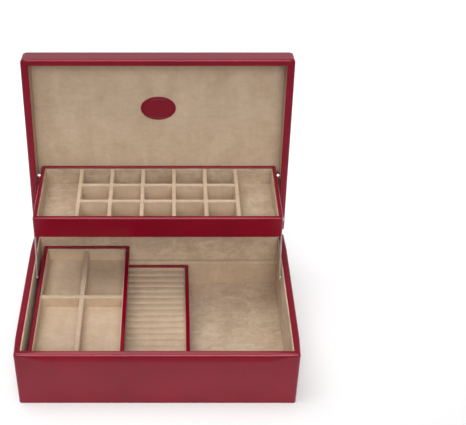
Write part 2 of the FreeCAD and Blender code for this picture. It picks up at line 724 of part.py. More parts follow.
def strap_outline(sketch):
    """A strap with round ends and two holes, from the sketch's centre along its negative axis."""
    length, half = 74.0, 3.5
    quarter = math.pi / 2
    near, far = FreeCAD.Vector(), FreeCAD.Vector(-length, 0, 0)
    up = FreeCAD.Vector(0, half, 0)
    normal = FreeCAD.Vector(0, 0, 1)
    end = sketch.addGeometry(Part.ArcOfCircle(Part.Circle(near, normal, half), -quarter, quarter), False)
    upper = sketch.addGeometry(Part.LineSegment(near + up, far + up), False)
    start = sketch.addGeometry(Part.ArcOfCircle(Part.Circle(far, normal, half), quarter, 3 * quarter), False)
    lower = sketch.addGeometry(Part.LineSegment(far - up, near - up), False)
    base_hole = sketch.addGeometry(Part.Circle(near, normal, half / 2), False)
    tray_hole = sketch.addGeometry(Part.Circle(far, normal, half / 2), False)
    sketch.addConstraint([
        Sketcher.Constraint("Tangent", end, 2, upper, 1),
        Sketcher.Constraint("Tangent", upper, 2, start, 1),
        Sketcher.Constraint("Tangent", start, 2, lower, 1),
        Sketcher.Constraint("Tangent", lower, 2, end, 1),
        Sketcher.Constraint("Coincident", end, 3, -1, 1),
        Sketcher.Constraint("Coincident", base_hole, 3, end, 3),
        Sketcher.Constraint("Coincident", tray_hole, 3, start, 3),
        Sketcher.Constraint("Horizontal", upper),
    ])
    constrain(sketch, "reach", ARM_LENGTH, "DistanceX", start, 3, end, 3, length)
    constrain(sketch, "round", "arm_width / 2", "Radius", end, half)
    constrain(sketch, "base_bore", "screw_radius + running_clearance", "Radius", base_hole, half / 2)
    constrain(sketch, "tray_bore", "screw_radius + open_pivot_clearance", "Radius", tray_hole, half / 2)


def make_insert():
    """The loose insert with four compartments, lying on the ledges beside the left arm."""
    left = f"-({INSIDE_X} - side_gap)"
    bottom = f"({FLOOR} + ledge_height)"
    half_depth = f"({INSIDE_Y} - insert_play)"
    low = (left, f"-{half_depth}", bottom)
    high = (f"{left} + insert_width", half_depth, f"{bottom} + insert_height")
    make_tray("insert", low, high)

    floor = f"({bottom} + {THIN_FLOOR})"
    top = f"({high[2]} - insert_divider_drop)"
    middle = f"(({floor} + {top}) / 2)"
    x, y = f"({left} + insert_width / 2)", "insert_cross_offset"
    start = (f"{left} + {THIN_WALL}", f"{y} - divider / 2", floor)
    end = (f"{high[0]} - {THIN_WALL}", f"{y} + divider / 2", top)
    slot = lap("insert_cross_slot", x, y, middle, f"{top} + {CUT_MARGIN}")
    wall_of("insert_cross_divider", start, end, "x", [slot])
    start = (f"{x} - divider / 2", f"-{half_depth} + {THIN_WALL}", floor)
    end = (f"{x} + divider / 2", f"{half_depth} - {THIN_WALL}", top)
    slot = lap("insert_long_slot", x, y, f"{floor} - {CUT_MARGIN}", middle)
    wall_of("insert_long_divider", start, end, "y", [slot])


def make_ring_tray():
    """The loose tray of ring rolls on the floor, partly under the insert."""
    half_depth = f"({INSIDE_Y} - ledge_depth - ring_play)"
    low = ("ring_right - ring_width", f"-{half_depth}", FLOOR)
    high = ("ring_right", half_depth, f"{FLOOR} + ring_height")
    make_tray("ring_tray", low, high)

    thin_wall = SIZES["thin_leather"] + SIZES["thin_board"] + SIZES["thin_lining"]
    wall = SIZES["leather"] + SIZES["board"] + SIZES["lining"]
    half_room = SIZES["case_depth"] / 2 - wall - SIZES["ledge_depth"] - SIZES["ring_play"] - thin_wall
    count = int(2 * half_room / SIZES["roll_pitch"])

    body = doc.addObject("PartDesign::Body", "ring_rolls")
    sketch = new_sketch(body, "YZ_Plane", "roll_profile")
    bind(sketch, ".AttachmentOffset.Base.x", f"-{count} * roll_pitch / 2 + roll_slit / 2")
    bind(sketch, ".AttachmentOffset.Base.y", f"{FLOOR} + {THIN_FLOOR}")
    bind(sketch, ".AttachmentOffset.Base.z", f"ring_right - ring_width + {THIN_WALL} + roll_end_gap")
    roll_profile(sketch)
    first = pad(body, sketch, "first_roll", f"ring_width - 2 * ({THIN_WALL} + roll_end_gap)")
    row = body.newObject("PartDesign::LinearPattern", "roll_row")
    row.Originals = [first]
    row.Direction = (next(item for item in body.Origin.OriginFeatures if item.Role == "Y_Axis"), [""])
    row.Occurrences = count
    bind(row, "Length", f"{count - 1} * roll_pitch")
    body.Tip = row
    doc.recompute()
    keep(body)


def roll_profile(sketch):
    """The end view of one foam roll: flat below, upright sides, a crown above."""
    width, side, rise = 10.6, 17.0, 4.4
    radius = ((width / 2) ** 2 + rise ** 2) / (2 * rise)
    corners = [FreeCAD.Vector(x, y, 0) for x, y in ((0, side), (0, 0), (width, 0), (width, side))]
    left, bottom, right = (
        sketch.addGeometry(Part.LineSegment(start, end), False) for start, end in zip(corners, corners[1:])
    )
    crown = sketch.addGeometry(
        Part.Arc(corners[3], FreeCAD.Vector(width / 2, side + rise, 0), corners[0]), False
    )
    sketch.addConstraint([
        Sketcher.Constraint("Coincident", left, 2, bottom, 1),
        Sketcher.Constraint("Coincident", bottom, 2, right, 1),
        Sketcher.Constraint("Coincident", right, 2, crown, 1),
        Sketcher.Constraint("Coincident", crown, 2, left, 1),
        Sketcher.Constraint("Coincident", left, 2, -1, 1),
        Sketcher.Constraint("Vertical", left),
        Sketcher.Constraint("Vertical", right),
        Sketcher.Constraint("Horizontal", bottom),
        Sketcher.Constraint("Equal", left, right),
    ])
    across = "(roll_pitch - roll_slit)"
    crown_radius = f"({across} ^ 2 / 4 + roll_crown ^ 2) / (2 * roll_crown)"
    constrain(sketch, "across", across, "DistanceX", bottom, 1, bottom, 2, width)
    constrain(sketch, "side", "roll_height - roll_crown", "DistanceY", right, 1, right, 2, side)
    constrain(sketch, "crown", crown_radius, "Radius", crown, radius)


def check_and_write():
    """Stop on anything broken, then write one file for each sub-part."""
    doc.recompute()
    for item in doc.Objects:
        if "Invalid" in item.State or "Error" in item.State:
            raise RuntimeError(f"{item.Label} failed: {item.State}")
    for piece in pieces:
        if piece.Shape.isNull() or not piece.Shape.isValid() or not piece.Shape.Solids:
            raise RuntimeError(f"{piece.Label} has no valid solid")
    os.makedirs("parts", exist_ok=True)
    for piece in pieces:
        piece.Shape.exportStep(os.path.join("parts", f"{piece.Label}.step"))
        print(piece.Label, len(piece.Shape.Solids), round(piece.Shape.Volume, 1))
    print(len(pieces), "sub-parts")


make_base()
make_hinges()
make_lid()
make_lifting_tray()
make_arms()
make_insert()
make_ring_tray()
check_and_write()
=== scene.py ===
"""The look of a leather jewellery case that stands open: its leather, suede linings, rolls and fittings.

Metres, +X to the right, +Y to the hinges, +Z up. Pieces of the lid are drawn closed, in a frame whose
origin lies on the hinge axis, and then swung open.
"""
import json
import math

import bmesh
import bpy
from mathutils import Matrix, Vector, noise


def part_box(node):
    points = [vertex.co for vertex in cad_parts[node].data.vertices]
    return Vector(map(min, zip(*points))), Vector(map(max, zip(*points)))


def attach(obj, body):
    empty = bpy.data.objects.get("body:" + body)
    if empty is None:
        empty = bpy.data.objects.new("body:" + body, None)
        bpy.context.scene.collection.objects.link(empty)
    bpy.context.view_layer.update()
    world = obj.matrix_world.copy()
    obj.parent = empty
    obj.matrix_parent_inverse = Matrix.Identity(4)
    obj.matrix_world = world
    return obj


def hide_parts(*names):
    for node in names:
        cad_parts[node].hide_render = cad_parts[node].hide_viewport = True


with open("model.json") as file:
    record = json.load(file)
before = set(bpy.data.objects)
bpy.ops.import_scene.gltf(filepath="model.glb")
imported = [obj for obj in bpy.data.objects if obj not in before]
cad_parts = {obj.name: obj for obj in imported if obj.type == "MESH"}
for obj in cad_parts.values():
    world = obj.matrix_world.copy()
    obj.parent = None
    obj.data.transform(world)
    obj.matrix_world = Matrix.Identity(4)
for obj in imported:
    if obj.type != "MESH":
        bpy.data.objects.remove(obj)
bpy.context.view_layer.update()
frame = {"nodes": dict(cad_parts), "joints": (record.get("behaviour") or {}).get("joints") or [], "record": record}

MM = 0.001
QUARTER = math.pi / 2

# Viewpoint, in pixels of the 466 by 425 frame and in metres
IMAGE_SIZE = (466, 425)
FOCAL_PIXELS = 1051.6
AXIS_PIXEL = (171.95, 270.1)
CAMERA_PLACE = (0.0162, -0.9551, 0.8382)
CAMERA_PITCH = 37.64
SENSOR = 36.0
# The room grows brighter upwards and towards the back: axis, where that starts and ends, dim, bright
ROOM_GLOW = (("Z", 0.1, 0.9, 0.28, 0.44), ("Y", 0.78, 0.94, 0.0, 0.27))

# Rounded outlines: places along a straight side, counted from its corner
CORNER_STEPS = 8
SIDE_PLACES = (1.5 * MM, 4 * MM, 8 * MM, 13 * MM, 19 * MM, 26 * MM, 35 * MM)
SHARP_RADIUS = 0.3 * MM
# How full the rolled rim of a side is, from the front round by the right
FULLEST = (1.0, 0.0, 0.16, 0.0)
# Heights over the lid's edge, and shares of a rim's width, closest where the leather bends most
EDGE_HEIGHTS = tuple(
    height * MM for height in (0.0, 0.05, 0.15, 0.35, 0.6, 0.9, 1.4, 2.0, 2.6, 3.2, 4.5, 9.0)
)
RIM_PLACES = (0.0, 0.003, 0.012, 0.03, 0.06, 0.1, 0.155, 0.23, 0.32, 0.43, 0.56, 0.7, 0.83)

# Leather: its thickness, how deep a corner is folded, and where it is turned in over a tray's wall
LEATHER = 1.0 * MM
THIN_LEATHER = 0.8 * MM
FOLD = 0.45 * MM
TRAY_EDGE = 1.4 * MM
# The padded front rim: its upper and lower radius, and the slope at which they meet
TIGHT_ROUND = 5.5 * MM
SOFT_ROUND = 22 * MM
ROUNDS_MEET = math.radians(22)
# How far the leather stands out at the sides and the front, and how much the lid widens to its front
LID_SWELL = 1.1 * MM
LID_FRONT_SWELL = 0.35 * MM
LID_FAN = 0.8 * MM
BASE_SWELL = 2.0 * MM
BASE_FRONT_SWELL = 1.8 * MM

# Suede: floors of the case and of the trays, then walls
LINING = 1.2 * MM
THIN_LINING = 1.0 * MM
WALL_SUEDE = 1.5 * MM
THIN_SUEDE = 1.8 * MM
# Panels: how far their edges curl, the width of a mesh cell, and how uneven their faces are
SUEDE_EDGE = 0.7 * MM
SUEDE_CELL = 7 * MM
SUEDE_SLACK = 0.25 * MM
# How much the padding adds to each side of a divider
PADDING = {"tray": 0.45 * MM, "insert": 0.9 * MM}

# Ring rolls, and the slit between two of them
ROLLS = 17
ROLL_SLIT = 0.4 * MM

# Fittings: radii of shanks, heads and posts, the screwdriver slot, the play beside the arms, and the
# angle in degrees from which their edges are sharp
SHANK = 1.6 * MM
HEAD = 3 * MM
HEAD_HEIGHT = 1.0 * MM
POST = 3.2 * MM
SLOT_WIDTH = 0.7 * MM
SLOT_DEPTH = 0.4 * MM
PLAY = 0.1 * MM
FITTING_SHARP = 30
# Hinge screws: from a leaf's outer end to its middle, from screw to screw, from the axis, and a leaf's face
LEAF_HALF = 22 * MM
SCREW_PITCH = 16 * MM
SCREW_REACH = 4.8 * MM
LEAF_FACE = 0.2 * MM


def srgb(red, green, blue):
    """A colour given in 0 to 255 screen values, as linear light."""
    def linear(value):
        share = value / 255
        return share / 12.92 if share <= 0.04045 else ((share + 0.055) / 1.055) ** 2.4

    return (linear(red), linear(green), linear(blue), 1.0)


class Look:
    """A node material, with short calls to add and join its nodes."""

    def __init__(self, name):
        self.material = bpy.data.materials.new(name)
        self.material.use_nodes = True
        self.tree = self.material.node_tree
        self.shader = self.tree.nodes["Principled BSDF"]
        self.place = self.add("ShaderNodeTexCoord").outputs["Object"]

    def add(self, kind, inputs=None, **settings):
        """A new node with its settings, and its inputs joined or set."""
        node = self.tree.nodes.new(kind)
        for name, value in settings.items():
            setattr(node, name, value)
        for name, value in (inputs or {}).items():
            self.feed(node.inputs[name], value)
        return node

    def feed(self, socket, value):
        """Join a socket to another one, or set its value."""
        if isinstance(value, bpy.types.NodeSocket):
            self.tree.links.new(value, socket)
        else:
            socket.default_value = value

    def finish(self, **inputs):
        """Set the shader's own inputs, written with _ for spaces."""
        for name, value in inputs.items():
            self.feed(self.shader.inputs[name.replace("_", " ")], value)
        return self.material

    def noise(self, size, detail=3.0, rough=0.55, stretch=(1, 1, 1), warp=0.0):
        """Cloudy values whose patches are about as wide as size, drawn out by stretch along each axis."""
        scale = [1 / amount for amount in stretch]
        place = self.add("ShaderNodeMapping", {"Vector": self.place, "Scale": scale}).outputs["Vector"]
        inputs = {
            "Vector": place, "Scale": 1 / size, "Detail": detail, "Roughness": rough, "Distortion": warp,
        }
        return self.add("ShaderNodeTexNoise", inputs).outputs["Fac"]

    def cells(self, size, feature):
        """Distances within a pattern of cells that are about as wide as size."""
        inputs = {"Vector": self.place, "Scale": 1 / size}
        return self.add("ShaderNodeTexVoronoi", inputs, feature=feature).outputs["Distance"]

    def math(self, operation, first, second):
        node = self.add("ShaderNodeMath", operation=operation)
        self.feed(node.inputs[0], first)
        self.feed(node.inputs[1], second)
        return node.outputs["Value"]

    def mix(self, *weighted):
        """The weighted sum of several values."""
        total = None
        for value, weight in weighted:
            share = self.math("MULTIPLY", value, weight)
            total = share if total is None else self.math("ADD", total, share)
        return total

    def scale(self, value, low, high, to_low, to_high):
        """A value's range between low and high, stretched to another range."""
        inputs = {
            "Value": value, "From Min": low, "From Max": high, "To Min": to_low, "To Max": to_high,
        }
        return self.add("ShaderNodeMapRange", inputs).outputs["Result"]

    def ramp(self, value, *stops):
        """Colours along a value, given as pairs of place and colour."""
        node = self.add("ShaderNodeValToRGB", {"Fac": value})
        points = node.color_ramp.elements
        while len(points) < len(stops):
            points.new(0.5)
        for point, (place, colour) in zip(points, stops):
            point.position = place
            point.color = colour
        return node.outputs["Color"]

    def bump(self, height, strength, depth, under=None):
        inputs = {"Height": height, "Strength": strength, "Distance": depth}
        if under is not None:
            inputs["Normal"] = under
        return self.add("ShaderNodeBump", inputs).outputs["Normal"]


def leather_look():
    """Smooth dyed calf leather: even deep red, fine shallow grain, a soft gloss."""
    look = Look("red_leather")
    tone = look.mix((look.noise(60 * MM, 4.0), 0.88), (look.noise(2.5 * MM, 3.0), 0.12))
    colour = look.ramp(tone, (0.3, srgb(120, 1, 27)), (0.5, srgb(129, 2, 31)), (0.72, srgb(136, 4, 34)))
    grain = look.cells(0.75 * MM, "DISTANCE_TO_EDGE")
    creases = look.scale(grain, 0.0, 0.14, 0.0, 1.0)
    pores = look.noise(0.5 * MM, 2.0)
    gloss = look.scale(look.noise(9 * MM, 4.0), 0.3, 0.7, 0.15, 0.2)
    fine = look.bump(creases, 0.05, 0.05 * MM)
    normal = look.bump(pores, 0.03, 0.05 * MM, fine)
    return look.finish(
        Base_Color=colour, Roughness=gloss, Normal=normal, IOR=1.48, Specular_Tint=(1.0, 0.78, 0.84, 1.0)
    )


def suede_look(name, tone, swirl, contrast):
    """Beige suede: fine crossed brush strokes, and broad swirls where a hand has gone over the nap."""
    look = Look(name)
    strokes = look.mix(
        (look.noise(3.0 * MM, 3.0, 0.6, (5, 1, 1), 0.8), 0.1),
        (look.noise(3.0 * MM, 3.0, 0.6, (1, 6, 6), 0.8), 0.1),
        (look.noise(12 * MM, 5.0, 0.65, (1.6, 1, 1), 1.2), 0.25 + swirl),
        (look.noise(34 * MM, 4.0, 0.6, (1, 1.5, 1.5), 0.6), 0.37 - swirl / 2),
        (look.noise(0.5 * MM, 2.0, 0.6), 0.18 - swirl / 2),
    )
    shades = ((178, 153, 126), (197, 172, 145), (213, 190, 164))
    dark, middle, light = [
        srgb(*[share * value for share, value in zip(tone, shade)]) for shade in shades
    ]
    spread = 0.16 / contrast
    colour = look.ramp(strokes, (0.5 - spread, dark), (0.5, middle), (0.5 + spread, light))
    nap = look.mix((look.noise(0.4 * MM, 2.0, 0.7), 0.7), (look.noise(3 * MM, 3.0), 0.3))
    normal = look.bump(nap, 0.3, 0.25 * MM)
    return look.finish(
        Base_Color=colour, Roughness=0.95, Normal=normal, Specular_IOR_Level=0.12,
        Sheen_Weight=0.3, Sheen_Roughness=0.5, Sheen_Tint=srgb(236, 216, 192),
    )


def steel_look():
    """Satin rolled steel with fine lengthwise marks."""
    look = Look("steel")
    marks = look.noise(0.5 * MM, 3.0, 0.6, (1, 9, 9))
    colour = look.ramp(marks, (0.3, (0.72, 0.72, 0.72, 1)), (0.7, (0.88, 0.88, 0.88, 1)))
    gloss = look.scale(marks, 0.3, 0.7, 0.26, 0.44)
    normal = look.bump(marks, 0.12, 0.05 * MM)
    return look.finish(Base_Color=colour, Metallic=1.0, Roughness=gloss, Normal=normal)


def chrome_look():
    """Bright plated metal with faint handling marks."""
    look = Look("chrome")
    marks = look.noise(1.5 * MM, 4.0)
    colour = look.ramp(marks, (0.3, (0.70, 0.70, 0.72, 1)), (0.7, (0.82, 0.82, 0.84, 1)))
    gloss = look.scale(marks, 0.3, 0.7, 0.08, 0.2)
    return look.finish(Base_Color=colour, Metallic=1.0, Roughness=gloss)


def felt_look():
    """Pressed wool felt with loose fibres."""
    look = Look("felt")
    fibres = look.mix(
        (look.noise(0.6 * MM, 3.0, 0.7, (5, 1, 1)), 0.5),
        (look.noise(0.6 * MM, 3.0, 0.7, (1, 5, 1)), 0.5),
    )
    colour = look.ramp(fibres, (0.35, srgb(46, 8, 14)), (0.65, srgb(78, 18, 26)))
    normal = look.bump(fibres, 0.5, 0.3 * MM)
    return look.finish(Base_Color=colour, Roughness=0.98, Normal=normal, Specular_IOR_Level=0.1)


def board_look():
    """Grey-brown pressed board."""
    look = Look("board")
    flecks = look.mix((look.noise(0.8 * MM, 3.0, 0.7), 0.6), (look.noise(6 * MM, 3.0), 0.4))
    colour = look.ramp(flecks, (0.35, srgb(104, 88, 70)), (0.65, srgb(140, 122, 100)))
    normal = look.bump(flecks, 0.25, 0.2 * MM)
    return look.finish(Base_Color=colour, Roughness=0.9, Normal=normal, Specular_IOR_Level=0.2)


def foam_look():
    """Open-celled pale foam."""
    look = Look("foam")
    pores = look.cells(0.9 * MM, "F1")
    colour = look.ramp(pores, (0.1, srgb(178, 170, 142)), (0.6, srgb(222, 215, 190)))
    normal = look.bump(pores, 0.5, 0.3 * MM)
    return look.finish(Base_Color=colour, Roughness=0.95, Normal=normal, Specular_IOR_Level=0.1)


looks = {
    "red_leather": leather_look(),
    "suede": suede_look("suede", (1.0, 1.01, 1.02), 0.0, 1.0),
    # painted shade: suede painted darker and redder for the strips round the lid's walls, where shade falls
    "painted_shade_suede": suede_look("painted_shade_suede", (0.82, 0.74, 0.73), 0.0, 1.0),
    # the tray's suede: a more strongly mottled nap, and a darker tone that is painted shade of the lid standing
    # behind the tray
    "mottled_shaded_suede": suede_look("mottled_shaded_suede", (0.93, 0.935, 0.95), 0.12, 1.7),
    "brushed_suede": suede_look("brushed_suede", (1.03, 1.05, 1.07), 0.25, 1.3),
    "steel": steel_look(),
    "chrome": chrome_look(),
    "felt": felt_look(),
    "board": board_look(),
    "foam": foam_look(),
}


def span(node):
    """A node's lowest and highest corners at rest."""
    low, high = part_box(node)
    return Vector(low), Vector(high)


def joint_place(name):
    """The place of a joint's axis at rest, and how far it turns, in radians."""
    joint = next(item for item in frame["joints"] if item["name"] == name)
    return Vector(joint["pos_m"]), math.radians(max(joint["range_deg"]))


def lid_frame():
    """From the closed lid's frame to where the open lid stands."""
    place, turn = joint_place("lid_hinge")
    return Matrix.Translation(place) @ Matrix.Rotation(-turn, 4, "X")


OPEN_LID = lid_frame()


def lid_span(node):
    """A lid node's lowest and highest corners in the closed lid's frame."""
    back = OPEN_LID.inverted()
    points = [back @ vertex.co for vertex in frame["nodes"][node].data.vertices]
    low = Vector([min(point[axis] for point in points) for axis in range(3)])
    high = Vector([max(point[axis] for point in points) for axis in range(3)])
    return low, high


def piece(name, bm, body, slot, *nodes, sharp=40, look=None):
    """Make built geometry a piece that rides on a body and stands for its nodes."""
    bmesh.ops.recalc_face_normals(bm, faces=bm.faces)
    mesh = bpy.data.meshes.new(name)
    bm.to_mesh(mesh)
    bm.free()
    mesh.shade_smooth()
    mesh.set_sharp_from_angle(angle=math.radians(sharp))
    mesh.materials.append(looks[look or slot])
    thing = bpy.data.objects.new(name, mesh)
    bpy.context.scene.collection.objects.link(thing)
    even = thing.modifiers.new("even_normals", "WEIGHTED_NORMAL")
    even.keep_sharp = True
    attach(thing, body)
    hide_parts(*nodes)
    return thing


def bridge(bm, loops, closed=False):
    """Quads between loops of points that follow each other, closed to a ring or capped at both ends."""
    rows = [[bm.verts.new(point) for point in loop] for loop in loops]
    pairs = list(zip(rows, rows[1:]))
    if closed:
        pairs.append((rows[-1], rows[0]))
    for row, after in pairs:
        for index, vertex in enumerate(row):
            beside = (index + 1) % len(row)
            bm.faces.new((vertex, row[beside], after[beside], after[index]))
    if not closed:
        bm.faces.new(rows[0][::-1])
        bm.faces.new(rows[-1])


def ease(share):
    """A smooth step from 0 to 1."""
    share = min(max(share, 0.0), 1.0)
    return share * share * (3 - 2 * share)


def outline(low_x, high_x, low_y, high_y, radius):
    """A rounded rectangle: its places, how full its side is at each, and which are a corner's fold."""
    corners = (
        (Vector((low_x, low_y)), Vector((1, 1)), 2 * QUARTER),
        (Vector((high_x, low_y)), Vector((-1, 1)), 3 * QUARTER),
        (Vector((high_x, high_y)), Vector((-1, -1)), 0.0),
        (Vector((low_x, high_y)), Vector((1, -1)), QUARTER),
    )
    arcs = []
    for corner, inward, start in corners:
        centre = corner + radius * inward
        arcs.append([
            centre + radius * Vector((math.cos(start + turn), math.sin(start + turn)))
            for turn in (QUARTER * step / CORNER_STEPS for step in range(CORNER_STEPS + 1))
        ])
    places = []
    for number, arc in enumerate(arcs):
        for step, point in enumerate(arc):
            places.append((point, 0.0, 1.0 if 2 * step == CORNER_STEPS else 0.0))
        start, end = arc[-1], arcs[(number + 1) % len(arcs)][0]
        length = (end - start).length
        reach = min(1.0, 0.49 * length / SIDE_PLACES[-1])
        near = [
            (place * reach / length, FULLEST[number] * ease(place / SIDE_PLACES[-1]))
            for place in SIDE_PLACES
        ]
        places += [(start.lerp(end, share), full, 0.0) for share, full in near]
        places += [(end.lerp(start, share), full, 0.0) for share, full in reversed(near)]
    return places


class Level:
    """One loop of a leather shell: how far each side is set in, its height, and how its corners fold."""

    def __init__(self, inset, height, corner_height=None, front=None, back=None, fold=0.0):
        self.side = inset
        self.front = inset if front is None else front
        self.back = inset if back is None else back
        self.height = height
        self.corner_height = height if corner_height is None else corner_height
        self.fold = fold

    def loop(self, low, high, radius):
        """The loop's points, on a box whose upright edges have a radius."""
        least = max(min(self.side, self.front, self.back), 0.0)
        places = outline(
            low.x + self.side, high.x - self.side, low.y + self.front, high.y - self.back,
            max(radius - least, SHARP_RADIUS),
        )
        loop = []
        for point, full, folded in places:
            height = self.corner_height + (self.height - self.corner_height) * full - self.fold * folded
            loop.append(Vector((point.x, point.y, height)))
        return loop


def arc_shares(steps):
    """Sines and cosines from the start to the end of a quarter turn."""
    turns = [QUARTER * step / steps for step in range(steps + 1)]
    return [(math.sin(turn), math.cos(turn)) for turn in turns]


def rolled_drop(radius, inset):
    """How far a rim that is rolled over a radius lies below its top at a distance from its outer side."""
    if inset >= radius:
        return 0.0
    return radius - math.sqrt(radius ** 2 - (radius - inset) ** 2)


def padded_drop(inset, depth=0.0):
    """How far the padded front rim lies below its top at an inset, or a layer at a depth under it."""
    tight, soft = TIGHT_ROUND - depth, SOFT_ROUND - depth
    soft_width = soft * (1 - math.cos(ROUNDS_MEET))
    if inset <= soft_width:
        fall = soft * math.sin(ROUNDS_MEET) + tight * (1 - math.sin(ROUNDS_MEET))
        return fall - math.sqrt(soft ** 2 - (soft - inset) ** 2)
    lean = max(0.0, math.cos(ROUNDS_MEET) - (inset - soft_width) / tight)
    return tight * (1 - math.sqrt(1 - lean ** 2))


def wrap_levels(low, high, rim, corner_drop, full_drop, foot, turned_in):
    """The outside of a wrapped box: a turned foot, the wall, a rolled rim and the edge turned in."""
    top, bottom = high.z, low.z
    inner_round = 0.5 * MM
    levels = [Level(foot * (1 - up), bottom + foot * (1 - across)) for up, across in arc_shares(3)]
    for place in RIM_PLACES:
        inset = place * rim
        fold = FOLD * ease(place)
        levels.append(Level(inset, top - full_drop(inset), top - corner_drop(inset), fold=fold))
    for up, across in arc_shares(3):
        inset = rim - inner_round * (1 - up)
        levels.append(Level(inset, top - inner_round * (1 - across), fold=FOLD * across))
    levels.append(Level(rim, top - turned_in))
    return levels


def make_base_leather():
    """Leather round the base, tight at the corners and fuller along the rims between them."""
    low, high = span("base_leather_wrap")
    rim = high.x - span("base_lining")[1].x
    side_round, corner_round, foot = 3.2 * MM, 3 * MM, 0.6 * MM
    levels = wrap_levels(
        low, high, rim, lambda inset: rolled_drop(side_round, inset), padded_drop, foot, LEATHER
    )
    levels += [
        Level(5.0 * MM, high.z - LEATHER),
        Level(2.6 * MM, high.z - 3.6 * MM),
        Level(LEATHER, high.z - 10 * MM),
        Level(LEATHER, low.z),
    ]
    bm = bmesh.new()
    bridge(bm, [level.loop(low, high, corner_round) for level in levels], closed=True)
    settle_rear_rim(bm, high.y, high.z, -1)
    swell_sides(bm, low, high, rim)
    piece("base_leather", bm, "base", "red_leather", "base_leather_wrap")


def swell_sides(bm, low, high, rim):
    """Let the front and the two sides stand out a little towards the rim, most between their corners."""
    at_corner = 0.35

    def swell(along, inset):
        fullness = at_corner + (1 - at_corner) * ease(along / SIDE_PLACES[-1])
        return fullness * min(1.0, 2 - 2 * inset / rim)

    for vertex in bm.verts:
        x, y, z = vertex.co
        rise = (z - low.z) / (high.z - low.z)
        aside, before = high.x - abs(x), y - low.y
        if aside < rim:
            vertex.co.x += math.copysign(BASE_SWELL * rise * swell(min(before, high.y - y), aside), x)
        if before < rim:
            vertex.co.y -= BASE_FRONT_SWELL * rise * swell(aside, before)


def make_front_board():
    """The board inside the front wall, whose top follows the rolled leather."""
    low, high = span("base_front_board")
    section = [(high.y, low.z), (low.y, low.z)]
    for place in RIM_PLACES + (1.0,):
        inset = place * (high.y - low.y)
        section.append((low.y + inset, high.z - padded_drop(inset, LEATHER)))
    bm = bmesh.new()
    bridge(bm, [[Vector((x, y, z)) for y, z in section] for x in (low.x, high.x)])
    piece("front_wall_board", bm, "base", "board", "base_front_board")


def settle_rear_rim(bm, back, height, direction):
    """Let the rear rim lie a hair deeper, so that the hinge leaves stand on it."""
    rim, flat, settled = 7.5 * MM, 0.4 * MM, 0.15 * MM
    for vertex in bm.verts:
        if vertex.co.y > back - rim and abs(vertex.co.z - height) < flat:
            vertex.co.z += direction * settled


def make_lid_leather():
    """Leather over the lid: a narrow rim, upright sides, the round nose and a slightly padded top."""
    low, high = lid_span("lid_leather_cover")
    rim = high.x - lid_span("lid_wall_lining")[1].x + LINING + 0.1 * MM
    nose, back_round, side_round, corner_round = 13.5 * MM, 5 * MM, 3 * MM, 4.5 * MM
    edge, side_edge, back_edge = 2.3 * MM, 3.2 * MM, 4.5 * MM
    inner_round = 0.9 * LEATHER
    bottom, top = low.z, high.z

    def outer(height):
        above, below = height - bottom, top - height
        inset = max(rolled_drop(side_round, below), rolled_drop(side_edge, above))
        front = max(rolled_drop(nose, below), rolled_drop(edge, above))
        back = max(rolled_drop(back_round, below), rolled_drop(back_edge, above))
        return Level(inset - LID_SWELL, height, front=front - LID_FRONT_SWELL, back=back)

    levels = [
        Level(4 * MM, top - LEATHER, front=15 * MM, back=7 * MM),
        Level(LEATHER, top - 4.6 * MM, front=4.8 * MM, back=2.3 * MM),
        Level(LEATHER, top - nose),
        Level(LEATHER, bottom + 5 * MM),
        Level(2 * MM, bottom + LEATHER, back=4.6 * MM),
        Level(rim, bottom + LEATHER),
    ]
    for up, across in arc_shares(4):
        inset = rim - inner_round * (1 - across)
        levels.append(Level(inset, bottom + inner_round * (1 - up), fold=-FOLD * up))
    levels += [outer(bottom + height) for height in EDGE_HEIGHTS]
    levels += [outer(top - nose * (1 - up)) for up, _ in arc_shares(14)]
    padding = ((9 * MM, 0.22 * MM), (22 * MM, 0.5 * MM), (45 * MM, 0.75 * MM), (75 * MM, 0.85 * MM))
    for inset, rise in padding:
        levels.append(Level(side_round + inset, top + rise, front=nose + inset, back=back_round + inset))
    bm = bmesh.new()
    bridge(bm, [level.loop(low, high, corner_round) for level in levels])
    settle_rear_rim(bm, high.y, bottom, 1)
    for vertex in bm.verts:
        if high.x - abs(vertex.co.x) < LEATHER:
            forward = (high.y - vertex.co.y) / (high.y - low.y)
            vertex.co.x += math.copysign(LID_FAN * ease(forward), vertex.co.x)
    bm.transform(OPEN_LID)
    piece("lid_leather", bm, "lid", "red_leather", "lid_leather_cover")


def make_tray_leather(body):
    """Leather round a thin tray, with a narrow rolled rim and a flat underside."""
    low, high = span(f"{body}_leather_wrap")
    rim = high.x - span(f"{body}_lining")[1].x + 0.6 * THIN_LINING
    side_round, front_round, corner_round, foot = 1.4 * MM, 2.2 * MM, 1.9 * MM, 0.8 * MM
    levels = wrap_levels(
        low, high, rim, lambda inset: rolled_drop(side_round, inset),
        lambda inset: rolled_drop(front_round, inset), foot, TRAY_EDGE,
    )
    levels += [
        Level(1.6 * MM, high.z - THIN_LEATHER),
        Level(THIN_LEATHER, high.z - 3 * MM),
        Level(THIN_LEATHER, low.z + THIN_LEATHER),
    ]
    bm = bmesh.new()
    bridge(bm, [level.loop(low, high, corner_round) for level in levels])
    piece(f"{body}_leather", bm, body, "red_leather", f"{body}_leather_wrap")


def edge_places(length, edge, cell):
    """Places along a soft panel: close together where its two edges curl, even between them."""
    curl = [edge * share for share in (0.0, 0.1, 0.3, 0.6, 1.0)]
    count = max(2, round((length - 2 * edge) / cell))
    middle = [edge + (length - 2 * edge) * step / count for step in range(1, count)]
    return curl + middle + [length - place for place in reversed(curl)]


